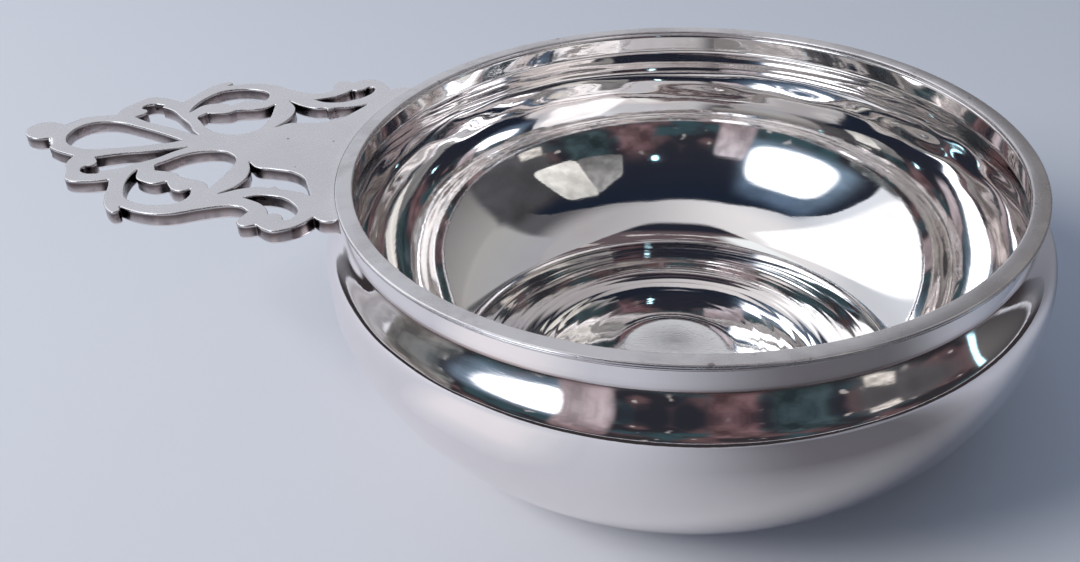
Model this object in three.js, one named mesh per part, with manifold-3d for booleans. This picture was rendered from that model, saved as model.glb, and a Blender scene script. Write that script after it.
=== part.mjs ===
// Silver porringer in three pieces: a raised bowl with a domed base, a rim wire on its edge
// and a flat cast handle pierced with scrollwork and a keyhole. Millimetres, +Z up.
// The bowl stands on z = 0, and the handle points along -X.
import * as THREE from 'three';
import { mergeVertices } from 'three/addons/utils/BufferGeometryUtils.js';
import Module from 'manifold-3d';

const wasm = await Module();
wasm.setup();

// Overall sizes
const BOWL_HEIGHT = 50.8; // table to the top of the rim wire
const BODY_RADIUS = 70.5; // widest part of the body
const RIM_RADIUS = 66.7; // outer edge of the rim wire
const HANDLE_REACH = 69.6; // handle tip past the rim wire's outer edge
const HANDLE_HALF_WIDTH = 33.4; // centre line to the outside of a root volute

// Rim wire
const RIM_WIDTH = 3.3;
const RIM_THICKNESS = 1.15;
const RIM_EDGE = 0.25; // softened corners
const REED_DEPTH = 0.15; // fine V groove round the outer edge
const REED_DROP = 0.55; // rim top down to the groove

// Bowl wall
const WALL = 0.9;
const RIM_OVERHANG = 1.0; // rim wire past the outside of the collar
const COLLAR_WALL = 2.1; // the collar is thickest where it carries the rim wire
const COLLAR_FLARE = 0.5; // how far the inside of the collar opens towards the crease
const CREASE_DROP = 5.7; // rim top down to the crease under the collar
const WIDEST_DROP = 17.1; // rim top down to the widest part
const SHOULDER_LEAN = THREE.MathUtils.degToRad(30); // shoulder at the crease, from upright
const SHOULDER_PULL = [5.9, 6.5]; // curve handles at the crease and at the widest part
const BELLY_PULL = [15.6, 8.5]; // curve handles at the widest part and at the foot
const FOOT_SLOPE = THREE.MathUtils.degToRad(13); // belly where it meets the foot

// Base
const FOOT_OUTER_RADIUS = 47.2; // outer edge of the flat ring that the bowl stands on
const FOOT_WIDTH = 6.2;
const DOME_RISE = 3.6; // centre of the base above the table
const DOME_POWER = 1.5; // how gently the dome meets the foot ring

// Handle
const HANDLE_THICKNESS = 2.9;
const HANDLE_BELOW_RIM = 0.5; // top face at the root, below the top of the rim wire
const TIP_LIFT = 2.3; // the handle curves up this much towards its tip
const LIFT_POWER = 2.5;
const SEAT_GAP = 0.3; // solder gap between the handle and the bowl
const ROOT_SPARE = 4; // how far the root is drawn in behind the collar before its seat is cut

// Fineness of the faceted surfaces
const ROUND_STEPS = 72;
const BELLY_STEPS = 12;
const SHOULDER_STEPS = 7;
const DOME_STEPS = 8;
const OUTLINE_STEP = 1.0;
const SAME_POINT = 1e-4;

// Values worked out from the sizes above
const RIM_SEAT = BOWL_HEIGHT - RIM_THICKNESS;
const COLLAR_RADIUS = RIM_RADIUS - RIM_OVERHANG;
const CREASE_HEIGHT = BOWL_HEIGHT - CREASE_DROP;
const WIDEST_HEIGHT = BOWL_HEIGHT - WIDEST_DROP;
const DOME_RADIUS = FOOT_OUTER_RADIUS - FOOT_WIDTH;
const HANDLE_TOP = BOWL_HEIGHT - HANDLE_BELOW_RIM;
const BOWL_AXIS_X = (RIM_RADIUS + HANDLE_REACH - BODY_RADIUS) / 2; // x = 0 is halfway along

// Handle scrollwork, drawn for one half of the handle. Each pair is the distance past the rim's
// edge and the distance from the centre line. A stretch is smooth, and two stretches meet at a
// corner, cusp or nick. The drawing is stretched from its own reach and width to the handle's.
const KNOB_RADIUS = 3.95;
const KNOB_STANDOFF = 5.75; // keyhole's round end to the knob's centre
const KNOB_SWEEP = THREE.MathUtils.degToRad(125); // half of the knob, from the tip to its notch

const KEYHOLE_RING = [
  [[61.2, 6.9], [59, 8.2], [54.6, 9.6]],
];

const SIDE_LOBE = [
  [[54.6, 9.6], [54.7, 12], [54.1, 14.2], [52.6, 17]],
  [[52.6, 17], [51.9, 18.7], [50.4, 19.6], [46.4, 19.3], [43.1, 18]],
];

const LARGE_RING = [
  [[43.1, 18], [42.1, 20.5], [41, 24.3], [39.2, 27.9], [36.6, 30], [35.7, 29.1], [36.3, 27.7]],
  [
    [36.3, 27.7], [33.6, 28.9], [29.4, 29.6], [25.6, 29.2],
    [20.8, 26.9], [16.5, 25.4], [13.5, 25.6], [11.4, 27.1],
  ],
];

const ROOT_VOLUTE = [
  [[11.4, 27.1], [12.1, 29.2], [12.3, 31]],
  [[12.3, 31], [11.4, 32.1], [9.9, 32.3], [8.3, 31.7]],
  [[8.3, 31.7], [6.4, 33.1], [4.5, 33.7], [1.6, 32.5], [-0.5, 30.1], [-1.4, 28.2]],
];

// The root tab runs in under the rim.
const ROOT_TAB = [
  [[-1.4, 28.2], [-2.7, 29.3], [-4.4, 29.7], [-6.5, 29.3]],
  [[-6.5, 29.3]],
];

// One half of the keyhole, from its sharp inner end to its round outer end.
const KEYHOLE = [
  [35.7, 0], [37.9, 1.2], [41.6, 2.8], [47.1, 4.8], [52.3, 6.3], [56.1, 5.9], [58.6, 4.3], [59.9, 1.9],
];

const SLOT = [
  [[33.1, 2.7], [40.3, 5.5], [45.9, 7.3], [50.1, 9.4]],
  [[50.1, 9.4], [49, 10.8], [48.6, 12], [49.1, 13.1]],
  [[49.1, 13.1], [50.4, 13.6], [50.3, 15.2], [48.6, 16.2], [46.5, 15.9]],
  [[46.5, 15.9], [46.4, 14.8]],
  [[46.4, 14.8], [43.1, 13.2], [40.2, 10.4], [37.3, 7.6], [35.3, 4.8], [33.1, 2.7]],
];

const KIDNEY_OPENING = [
  [
    [35.7, 13.1], [36.6, 11], [35.3, 9.2], [32.2, 5.7], [29.1, 4.2],
    [25, 3.9], [21.6, 6.6], [21.1, 12], [22.2, 19.1],
  ],
  [[22.2, 19.1], [23.5, 17.2], [25.6, 16.1], [28.2, 15.6], [29.9, 15]],
  [[29.9, 15], [30.7, 14], [32.4, 13.4], [35.7, 13.1]],
];

const COMMA_OPENING = [
  [
    [39.4, 13.1], [39.6, 16.1], [38.9, 20.1], [36.8, 24.2], [33.6, 26],
    [29.4, 26.3], [26, 25], [25, 22.4], [25.6, 19.7],
  ],
  [[25.6, 19.7], [27, 20.7], [29.1, 20.4], [30.6, 18.8], [31.6, 17.3]],
  [[31.6, 17.3], [33.4, 18.4], [35.6, 18.2], [38, 16.8], [39.4, 13.1]],
];

const ROOT_OPENING = [
  [[18.3, 7.9], [15.9, 10.1], [12.8, 10.4], [8.7, 11.2], [5.6, 13.1], [3.7, 16.2], [1.6, 20.5]],
  [[1.6, 20.5], [4, 19.2], [8.3, 18.2], [9.7, 17.2]],
  [[9.7, 17.2], [10.6, 18], [12.6, 17.8], [16.1, 18.8], [19.6, 21.1]],
  [[19.6, 21.1], [17.3, 18], [16.4, 14.4], [16.9, 11.1], [18.3, 7.9]],
];

const VOLUTE_OPENING = [
  [[14.2, 22.1], [11.2, 21], [7.2, 21.4], [4.2, 23.4], [2.2, 26.6], [2.6, 29.3], [3.9, 29.5]],
  [[3.9, 29.5], [4.5, 28.2], [5.9, 27.4], [7.3, 27.7]],
  [[7.3, 27.7], [8.2, 26], [10.2, 23.9], [12.6, 22.7], [14.2, 22.1]],
];

// The drawing's own sizes
const KNOB_CENTRE = KEYHOLE.at(-1)[0] + KNOB_STANDOFF;
const DRAWN_REACH = KNOB_CENTRE + KNOB_RADIUS;
const DRAWN_HALF_WIDTH = Math.max(...ROOT_VOLUTE.flat().map(([, side]) => side));

// A solid of revolution about the upright axis. Its [radius, height] points go round the solid
// with the metal on their left, and the profile closes on itself.
function revolve(profile) {
  const points = [...profile, profile[0]].map(([radius, height]) => new THREE.Vector2(radius, height));
  const geometry = new THREE.LatheGeometry(points, ROUND_STEPS);
  geometry.rotateX(Math.PI / 2);
  return geometry;
}

function toManifold(geometry) {
  geometry.deleteAttribute('normal');
  geometry.deleteAttribute('uv');
  const closed = mergeVertices(geometry, SAME_POINT);
  const vertProperties = new Float32Array(closed.attributes.position.array);
  const triVerts = new Uint32Array(closed.index.array);
  return new wasm.Manifold(new wasm.Mesh({ numProp: 3, vertProperties, triVerts }));
}

function fromManifold(solid) {
  const mesh = solid.getMesh();
  const geometry = new THREE.BufferGeometry();
  geometry.setAttribute('position', new THREE.BufferAttribute(mesh.vertProperties, 3));
  geometry.setIndex(new THREE.BufferAttribute(mesh.triVerts, 1));
  return geometry;
}

// The belly rises from the foot to the widest part.
function bellyCurve() {
  const foot = new THREE.Vector2(FOOT_OUTER_RADIUS, 0);
  const widest = new THREE.Vector2(BODY_RADIUS, WIDEST_HEIGHT);
  const [widestPull, footPull] = BELLY_PULL;
  const leaveFoot = new THREE.Vector2(Math.cos(FOOT_SLOPE), Math.sin(FOOT_SLOPE)).multiplyScalar(footPull);
  const reachWidest = new THREE.Vector2(0, -widestPull);
  return new THREE.CubicBezierCurve(foot, leaveFoot.add(foot), reachWidest.add(widest), widest);
}

// The shoulder turns in from the widest part to the crease under the collar.
function shoulderCurve() {
  const widest = new THREE.Vector2(BODY_RADIUS, WIDEST_HEIGHT);
  const crease = new THREE.Vector2(COLLAR_RADIUS, CREASE_HEIGHT);
  const [creasePull, widestPull] = SHOULDER_PULL;
  const leaveWidest = new THREE.Vector2(0, widestPull);
  const lean = new THREE.Vector2(Math.sin(SHOULDER_LEAN), -Math.cos(SHOULDER_LEAN));
  const reachCrease = lean.multiplyScalar(creasePull);
  return new THREE.CubicBezierCurve(widest, leaveWidest.add(widest), reachCrease.add(crease), crease);
}

// Points along a curve of the outside, moved in by a depth at right angles to it.
function wallPoints(curve, steps, depth) {
  const points = [];
  for (let i = 0; i <= steps; i += 1) {
    const point = curve.getPoint(i / steps);
    const along = curve.getTangent(i / steps);
    points.push([point.x - along.y * depth, point.y + along.x * depth]);
  }
  return points;
}

// The dome of the base is level at its centre and again at the foot ring.
function domePoints(lift) {
  const points = [];
  for (let i = 0; i <= DOME_STEPS; i += 1) {
    const share = i / DOME_STEPS;
    points.push([DOME_RADIUS * share, lift + DOME_RISE * (1 - share ** 2) ** DOME_POWER]);
  }
  return points;
}

function bowlGeometry() {
  const belly = bellyCurve();
  const shoulder = shoulderCurve();
  const collarInner = COLLAR_RADIUS - COLLAR_WALL;
  const outside = [
    ...domePoints(0),
    ...wallPoints(belly, BELLY_STEPS, 0),
    ...wallPoints(shoulder, SHOULDER_STEPS, 0).slice(1),
    [COLLAR_RADIUS, RIM_SEAT],
  ];
  const inside = [
    ...domePoints(WALL),
    ...wallPoints(belly, BELLY_STEPS, WALL),
    ...wallPoints(shoulder, SHOULDER_STEPS, WALL).slice(1, -1),
    [collarInner + COLLAR_FLARE, CREASE_HEIGHT],
    [collarInner, RIM_SEAT],
  ];
  return revolve([...outside, ...inside.reverse()]);
}

// The rim wire is a flat band that lies on the collar's top edge.
function rimGeometry() {
  const inner = RIM_RADIUS - RIM_WIDTH;
  const reed = BOWL_HEIGHT - REED_DROP;
  return revolve([
    [inner, RIM_SEAT],
    [RIM_RADIUS - RIM_EDGE, RIM_SEAT],
    [RIM_RADIUS, RIM_SEAT + RIM_EDGE],
    [RIM_RADIUS, reed - REED_DEPTH],
    [RIM_RADIUS - REED_DEPTH, reed],
    [RIM_RADIUS, reed + REED_DEPTH],
    [RIM_RADIUS, BOWL_HEIGHT - RIM_EDGE],
    [RIM_RADIUS - RIM_EDGE, BOWL_HEIGHT],
    [inner + RIM_EDGE, BOWL_HEIGHT],
    [inner, BOWL_HEIGHT - RIM_EDGE],
  ]);
}

// Points along one stretch of the drawing, without its last point. One or two points are kept
// as they are, as a straight stretch.
function stretchPoints(stretch) {
  const drawn = stretch.map(([past, side]) => new THREE.Vector3(past, side, 0));
  if (drawn.length <= 2) return [drawn[0]];
  const curve = new THREE.CatmullRomCurve3(drawn, false, 'centripetal');
  const steps = Math.max(2, Math.round(curve.getLength() / OUTLINE_STEP));
  return curve.getSpacedPoints(steps).slice(0, -1);
}

// Half of the knob at the tip, from the centre line to its notch.
function knobPoints() {
  const steps = Math.round((KNOB_RADIUS * KNOB_SWEEP) / OUTLINE_STEP);
  const points = [];
  for (let i = 0; i <= steps; i += 1) {
    const angle = (KNOB_SWEEP * i) / steps;
    const past = KNOB_CENTRE + KNOB_RADIUS * Math.cos(angle);
    points.push(new THREE.Vector3(past, KNOB_RADIUS * Math.sin(angle), 0));
  }
  return points;
}

// A drawn point in its place on the handle, on one side of the centre line or the other.
function placed(point, side) {
  const past = (point.x * HANDLE_REACH) / DRAWN_REACH;
  const across = (point.y * HANDLE_HALF_WIDTH) / DRAWN_HALF_WIDTH;
  return new THREE.Vector2(-RIM_RADIUS - past, side * across);
}

// A corner of the root's blank end, behind the collar, which the seat cut takes away.
function rootCorner(side) {
  const insideCollar = Math.sqrt(COLLAR_RADIUS ** 2 - HANDLE_HALF_WIDTH ** 2);
  const [, tabSide] = ROOT_TAB.at(-1).at(-1);
  return new THREE.Vector2(ROOT_SPARE - insideCollar, placed(new THREE.Vector2(0, tabSide), side).y);
}

// The whole outline runs anticlockwise from the tip, down one side and back up the other.
function outerOutline() {
  const edge = [...KEYHOLE_RING, ...SIDE_LOBE, ...LARGE_RING, ...ROOT_VOLUTE, ...ROOT_TAB];
  const half = [...knobPoints(), ...edge.flatMap(stretchPoints)];
  const oneSide = half.map((point) => placed(point, -1));
  const otherSide = half.slice(1).map((point) => placed(point, 1));
  return [...oneSide, rootCorner(-1), rootCorner(1), ...otherSide.reverse()];
}

function keyholeOutline() {
  const backAgain = KEYHOLE.slice(1).reverse().map(([past, side]) => [past, -side]);
  return stretchPoints([...KEYHOLE, ...backAgain, KEYHOLE[0]]).map((point) => placed(point, 1));
}

function openingOutline(opening, side) {
  return opening.flatMap(stretchPoints).map((point) => placed(point, side));
}

// The handle is level at its root and curves up to its tip.
function liftTip(geometry) {
  const position = geometry.attributes.position;
  for (let i = 0; i < position.count; i += 1) {
    const past = Math.max(0, -position.getX(i) - RIM_RADIUS);
    const lift = TIP_LIFT * (past / HANDLE_REACH) ** LIFT_POWER;
    position.setZ(i, position.getZ(i) + lift);
  }
  return geometry;
}

// What the handle's root is cut back from: the collar and the rim wire, with the solder gap.
function seatCutter() {
  const within = COLLAR_RADIUS / 2;
  const low = HANDLE_TOP - HANDLE_THICKNESS - SEAT_GAP;
  const high = BOWL_HEIGHT + SEAT_GAP;
  return revolve([
    [within, low],
    [COLLAR_RADIUS + SEAT_GAP, low],
    [COLLAR_RADIUS + SEAT_GAP, RIM_SEAT - SEAT_GAP],
    [RIM_RADIUS + SEAT_GAP, RIM_SEAT - SEAT_GAP],
    [RIM_RADIUS + SEAT_GAP, high],
    [within, high],
  ]);
}

function handleGeometry() {
  const shape = new THREE.Shape(outerOutline());
  shape.holes.push(new THREE.Path(keyholeOutline()));
  for (const opening of [SLOT, KIDNEY_OPENING, COMMA_OPENING, ROOT_OPENING, VOLUTE_OPENING]) {
    for (const side of [1, -1]) {
      shape.holes.push(new THREE.Path(openingOutline(opening, side)));
    }
  }
  const plate = new THREE.ExtrudeGeometry(shape, { depth: HANDLE_THICKNESS, bevelEnabled: false });
  plate.translate(0, 0, HANDLE_TOP - HANDLE_THICKNESS);
  const seated = toManifold(plate).subtract(toManifold(seatCutter()));
  return liftTip(fromManifold(seated));
}

function silver(name, color, roughness) {
  return new THREE.MeshStandardMaterial({ name, color, roughness, metalness: 1 });
}

function piece(name, geometry, material) {
  const mesh = new THREE.Mesh(geometry, material);
  mesh.name = name;
  return mesh;
}

const porringer = new THREE.Group();
porringer.name = 'porringer';
porringer.position.x = BOWL_AXIS_X;
porringer.add(piece('bowl', bowlGeometry(), silver('bowl_silver', 0xe6e4e3, 0.08)));
porringer.add(piece('rim_wire', rimGeometry(), silver('rim_silver', 0xdad9da, 0.2)));
porringer.add(piece('handle', handleGeometry(), silver('handle_silver', 0xd7d7d9, 0.28)));

export default porringer;
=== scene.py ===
import math

import bpy
import numpy as np
from mathutils import Matrix, Vector, geometry, kdtree


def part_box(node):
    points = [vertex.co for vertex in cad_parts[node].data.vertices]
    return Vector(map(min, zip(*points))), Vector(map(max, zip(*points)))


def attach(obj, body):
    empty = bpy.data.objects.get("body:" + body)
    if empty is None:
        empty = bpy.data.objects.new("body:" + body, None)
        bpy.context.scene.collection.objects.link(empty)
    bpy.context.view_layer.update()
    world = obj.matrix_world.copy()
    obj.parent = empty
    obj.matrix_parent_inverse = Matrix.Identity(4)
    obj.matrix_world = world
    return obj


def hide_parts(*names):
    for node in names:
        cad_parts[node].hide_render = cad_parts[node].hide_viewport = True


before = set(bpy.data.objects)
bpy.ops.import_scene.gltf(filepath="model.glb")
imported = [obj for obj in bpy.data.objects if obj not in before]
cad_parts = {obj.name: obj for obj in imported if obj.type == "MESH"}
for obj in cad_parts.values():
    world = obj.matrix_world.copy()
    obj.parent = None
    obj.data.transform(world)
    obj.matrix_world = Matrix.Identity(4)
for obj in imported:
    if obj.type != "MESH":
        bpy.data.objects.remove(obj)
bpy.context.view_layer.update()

# A silver porringer: fine meshes for the bowl, its rim wire and its pierced handle, in polished
# and worn silver, on a pale floor in a soft studio. Shapes are worked out in millimetres, in the
# frame's own axes, and scaled to metres once, when a mesh is made.
MM = 0.001

# Sizes read from the frame
bowl_low, bowl_high = (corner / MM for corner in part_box("bowl"))
rim_low, rim_high = (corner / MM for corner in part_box("rim_wire"))
handle_low, handle_high = (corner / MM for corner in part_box("handle"))
AXIS_X = (rim_low.x + rim_high.x) / 2
BODY_RADIUS = (bowl_high.y - bowl_low.y) / 2
RIM_RADIUS = (rim_high.y - rim_low.y) / 2
RIM_TOP = rim_high.z
RIM_SEAT = rim_low.z
HANDLE_REACH = rim_low.x - handle_low.x
HANDLE_HALF_WIDTH = handle_high.y

# Bowl: the solid's own profile, with a finer base
WALL = 0.9
COLLAR_RADIUS = RIM_RADIUS - 1.0
COLLAR_WALL = 2.1
COLLAR_FLARE = 0.5
CREASE_CORNER = 0.22
INNER_CREASE_CORNER = 0.7
CREASE_HEIGHT = RIM_TOP - 5.7
WIDEST_HEIGHT = RIM_TOP - 17.1
SHOULDER_LEAN = math.radians(30)
SHOULDER_PULL = (5.9, 6.5)
BELLY_PULL = (15.6, 8.5)
FOOT_SLOPE = math.radians(13)
FOOT_RADIUS = 47.2
BASE_RADIUS = 44.0
BASE_ZONE_HEIGHT = 8
MIDDLE_RADIUS = 0.5
AROUND = 600

# How the base slopes, going outwards: radius, and the fall there in degrees. Its middle is dished.
BASE_FALL = [
    (0, 0), (3, -0.6), (6.3, -1.7), (10.8, -3.3), (12.3, 0), (13.5, 2.2), (16, 2.7), (20, 2.2),
    (25, 3), (28, 5), (35, 7.5), (40, 6), (BASE_RADIUS, 0),
]

# Spinning rings inside the base: how many, the first one's radius, the distance between two, and
# the shallowest and deepest, narrowest and widest. The inner ones are set one by one, by radius,
# depth and width.
RING_SEED = 3
RING_COUNT = 7
RING_START = 27.5
RING_PITCH = 2.6
RING_DEPTHS = (0.010, 0.024)
RING_WIDTHS = (0.3, 0.55)
INNER_RINGS = [(19.0, 0.012, 0.35), (23.5, 0.014, 0.4)]

# How far the bowl departs from its true shape
BASE_SWELL = 0.014
MIDDLE_SWELL = 0.006
SHORT_STREAK = 0.010
SIDE_STREAK = 0.034
HAMMERED_TURN = math.radians(212)
HAMMERED_SPREAD = math.radians(30)
OUTSIDE_SET_IN = 0.03

# Waves of the surface: size, seed, how many, the fewest and most in one turn, and the shortest
# and longest in millimetres
RING_WAVES = (0.014, 3, 7, (0, 0), (2.6, 7))
SWELL_WAVES = (1, 5, 12, (1, 9), (8, 22))
STREAK_WAVES = (0.048, 11, 16, (0, 8), (4, 13))
SHORT_STREAK_WAVES = (1, 19, 20, (8, 34), (4, 12))
WALL_WAVES = (0.032, 13, 16, (5, 26), (9, 30))
FINE_WAVES = (0.005, 17, 14, (14, 40), (5, 16))
SHELL_WAVES = (0.010, 23, 10, (2, 7), (18, 60))
HAMMER_WAVES = (0.075, 29, 12, (8, 26), (8, 22))
RIM_WAVES = (0.5, 31, 9, (3, 40), (30, 60))
FILED_LENGTHWAYS = (0.006, 41, 12, (0, 0), (9, 26))
FILED_SIDEWAYS = (0.006, 43, 12, (0, 0), (9, 30))
HANDLE_WALL_WAVES = (0.03, 53, 12, (2, 20), (1.5, 6))

# Rim wire
RIM_WIDTH = 3.3
RIM_EDGE = 0.25
RIM_CROWN = 0.06
REED_DEPTH = 0.15
REED_DROP = 0.55
RIM_SET_IN = 0.02
RIM_CORNER = 0.35
RIM_WEAR = 0.014
NICK_SEED = 37
NICK_COUNT = 9
NICK_DEPTH = 0.07

# Handle
HANDLE_THICKNESS = 2.9
HANDLE_TOP = RIM_TOP - 0.5
TIP_LIFT = handle_high.z - HANDLE_TOP
LIFT_POWER = 2.5
SEAT_RADIUS = RIM_RADIUS + 0.05  # the solder closes the joint
SOLDER_RISE = 0.22
TOP_FILLET = 0.28
BOTTOM_FILLET = 0.3
EDGE_WEAR = 0.05
EDGE_WEAR_REACH = 0.9
FILED_DEPTH = 0.024
UNDERSIDE_SET_IN = 0.01
WALL_BULGE = 0.05
SAW_SEED = 47
SAW_WAVES = 6
WOBBLE = 0.022

# Handle mesh: rows down its walls, steps along its outline and over its faces, how far the even
# grid starts past the rounded edge, and the height of the grid's rows as a share of its step
WALL_ROWS = 8
OUTLINE_STEP = 0.28
GRID_STEP = 0.8
GRID_MARGIN = 0.35
GRID_ROW = 0.87

# Handle scrollwork, drawn for one half: each pair is the distance past the rim's edge and the
# distance from the centre line. A stretch is smooth, and two stretches meet at a corner: each
# starts where the one before it ends, and an opening's first one where its last one ends.
KNOB_RADIUS = 3.95
KNOB_STANDOFF = 5.75
KNOB_SWEEP = math.radians(125)
NECK = (61.2, 6.9)
KEYHOLE_RING = [(59, 8.2), (54.6, 9.6)]
SIDE_LOBE = [
    [(54.7, 12), (54.1, 14.2), (52.6, 17)],
    [(51.9, 18.7), (50.4, 19.6), (46.4, 19.3), (43.1, 18)],
]
LARGE_RING = [
    [(42.1, 20.5), (41, 24.3), (39.2, 27.9), (36.6, 30), (35.7, 29.1), (36.3, 27.7)],
    [(33.6, 28.9), (29.4, 29.6), (25.6, 29.2), (20.8, 26.9), (16.5, 25.4), (13.5, 25.6), (11.4, 27.1)],
]
ROOT_VOLUTE = [
    [(12.1, 29.2), (12.3, 31)],
    [(11.4, 32.1), (9.9, 32.3), (8.3, 31.7)],
    [(6.4, 33.1), (4.5, 33.7), (1.6, 32.5), (-0.5, 30.1), (-1.4, 28.2)],
]
ROOT_TAB = [(-2.7, 29.3), (-4.4, 29.7), (-6.5, 29.3)]
KEYHOLE = [
    (35.7, 0), (37.9, 1.2), (41.6, 2.8), (47.1, 4.8), (52.3, 6.3), (56.1, 5.9), (58.6, 4.3),
    (59.9, 1.9),
]
SLOT = [
    [(40.3, 5.5), (45.9, 7.3), (50.1, 9.4)],
    [(49, 10.8), (48.6, 12), (49.1, 13.1)],
    [(50.4, 13.6), (50.3, 15.2), (48.6, 16.2), (46.5, 15.9)],
    [(46.4, 14.8)],
    [(43.1, 13.2), (40.2, 10.4), (37.3, 7.6), (35.3, 4.8), (33.1, 2.7)],
]
KIDNEY_OPENING = [
    [
        (36.6, 11), (35.3, 9.2), (32.2, 5.7), (29.1, 4.2), (25, 3.9), (21.6, 6.6), (21.1, 12),
        (22.2, 19.1),
    ],
    [(23.5, 17.2), (25.6, 16.1), (28.2, 15.6), (29.9, 15)],
    [(30.7, 14), (32.4, 13.4), (35.7, 13.1)],
]
COMMA_OPENING = [
    [
        (39.6, 16.1), (38.9, 20.1), (36.8, 24.2), (33.6, 26), (29.4, 26.3), (26, 25), (25, 22.4),
        (25.6, 19.7),
    ],
    [(27, 20.7), (29.1, 20.4), (30.6, 18.8), (31.6, 17.3)],
    [(33.4, 18.4), (35.6, 18.2), (38, 16.8), (39.4, 13.1)],
]
ROOT_OPENING = [
    [(15.9, 10.1), (12.8, 10.4), (8.7, 11.2), (5.6, 13.1), (3.7, 16.2), (1.6, 20.5)],
    [(4, 19.2), (8.3, 18.2), (9.7, 17.2)],
    [(10.6, 18), (12.6, 17.8), (16.1, 18.8), (19.6, 21.1)],
    [(17.3, 18), (16.4, 14.4), (16.9, 11.1), (18.3, 7.9)],
]
VOLUTE_OPENING = [
    [(11.2, 21), (7.2, 21.4), (4.2, 23.4), (2.2, 26.6), (2.6, 29.3), (3.9, 29.5)],
    [(4.5, 28.2), (5.9, 27.4), (7.3, 27.7)],
    [(8.2, 26), (10.2, 23.9), (12.6, 22.7), (14.2, 22.1)],
]
SIDE_OPENINGS = [SLOT, KIDNEY_OPENING, COMMA_OPENING, ROOT_OPENING, VOLUTE_OPENING]

KNOB_CENTRE = KEYHOLE[-1][0] + KNOB_STANDOFF
DRAWN_REACH = KNOB_CENTRE + KNOB_RADIUS
DRAWN_HALF_WIDTH = max(side for stretch in ROOT_VOLUTE for _, side in stretch)

# Small pits in the handle's top: distance past the rim's edge, distance in front of the centre
# line, and radius
HANDLE_PITS = [(13.7, -2.5, 0.35), (3.8, -2.0, 0.3), (24.0, 1.5, 0.2), (8.2, 9.4, 0.2)]

# Small pits in the belly: azimuth from the front, height and radius
BELLY_PITS = [(-29, 16.5, 0.28), (-26.5, 14.8, 0.34), (8, 9.0, 0.2), (31, 20.0, 0.22)]


# Meshes

def add_mesh(name, points, groups, attributes=None):
    """A smooth mesh from points in millimetres and arrays of faces, with a float attribute for
    each named array of values."""
    mesh = bpy.data.meshes.new(name)
    points = np.asarray(points, np.float32) * MM
    mesh.vertices.add(len(points))
    mesh.vertices.foreach_set("co", points.ravel())
    groups = [np.asarray(group, np.int32) for group in groups]
    corners = np.concatenate([group.ravel() for group in groups])
    sizes = np.concatenate([np.full(len(group), group.shape[1], np.int32) for group in groups])
    mesh.loops.add(len(corners))
    mesh.loops.foreach_set("vertex_index", corners)
    mesh.polygons.add(len(sizes))
    starts = np.concatenate([[0], np.cumsum(sizes)[:-1]])
    mesh.polygons.foreach_set("loop_start", starts.astype(np.int32))
    mesh.polygons.foreach_set("use_smooth", np.ones(len(sizes), bool))
    for key, values in (attributes or {}).items():
        layer = mesh.attributes.new(key, "FLOAT", "POINT")
        layer.data.foreach_set("value", np.asarray(values, np.float32).ravel())
    mesh.update(calc_edges=True)
    obj = bpy.data.objects.new(name, mesh)
    bpy.context.scene.collection.objects.link(obj)
    return obj


def grid_points(*parts):
    """Points of a grid, row by row, from its coordinates over rows and columns."""
    return np.stack(np.broadcast_arrays(*parts), axis=2).reshape(-1, len(parts))


def grid_faces(rows, columns, close_rows, close_columns):
    """Quads of a grid of points, row by row."""
    row = np.arange(rows if close_rows else rows - 1)[:, None]
    column = np.arange(columns if close_columns else columns - 1)[None, :]
    above = (row + 1) % rows
    beside = (column + 1) % columns
    row, above = row * columns, above * columns
    return grid_points(row + column, row + beside, above + beside, above + column)


def bezier(points, steps):
    """Points of a cubic Bezier curve and its unit tangents."""
    a, b, c, d = (np.array(p, float) for p in points)
    t = np.linspace(0, 1, steps + 1)[:, None]
    place = a * (1 - t) ** 3 + 3 * b * t * (1 - t) ** 2 + 3 * c * t * t * (1 - t) + d * t ** 3
    slope = 3 * (b - a) * (1 - t) ** 2 + 6 * (c - b) * t * (1 - t) + 3 * (d - c) * t * t
    return place, slope / np.linalg.norm(slope, axis=1)[:, None]


def belly_curve(steps):
    widest_pull, foot_pull = BELLY_PULL
    leave = (FOOT_RADIUS + foot_pull * math.cos(FOOT_SLOPE), foot_pull * math.sin(FOOT_SLOPE))
    reach = (BODY_RADIUS, WIDEST_HEIGHT - widest_pull)
    return bezier([(FOOT_RADIUS, 0), leave, reach, (BODY_RADIUS, WIDEST_HEIGHT)], steps)


def shoulder_curve(steps):
    crease_pull, widest_pull = SHOULDER_PULL
    leave = (BODY_RADIUS, WIDEST_HEIGHT + widest_pull)
    reach = (
        COLLAR_RADIUS + crease_pull * math.sin(SHOULDER_LEAN),
        CREASE_HEIGHT - crease_pull * math.cos(SHOULDER_LEAN),
    )
    return bezier([(BODY_RADIUS, WIDEST_HEIGHT), leave, reach, (COLLAR_RADIUS, CREASE_HEIGHT)], steps)


def offset(curve, depth):
    """The curve moved in by depth, at right angles to it."""
    place, along = curve
    return place + depth * np.stack([-along[:, 1], along[:, 0]], axis=1)


def straight(start, end, steps):
    t = np.linspace(0, 1, steps + 1)[:, None]
    return np.array(start, float) * (1 - t) + np.array(end, float) * t


def soft_corner(before, corner, after, size, steps=5):
    """An arc-like turn that replaces a sharp corner, from size before it to size after it."""
    corner = np.array(corner, float)
    start = np.array(before, float) - corner
    end = np.array(after, float) - corner
    start = corner + start / np.linalg.norm(start) * size
    end = corner + end / np.linalg.norm(end) * size
    reach = 0.45
    leave = corner + (start - corner) * reach
    arrive = corner + (end - corner) * reach
    return bezier([start, leave, arrive, end], steps)[0]


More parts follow.
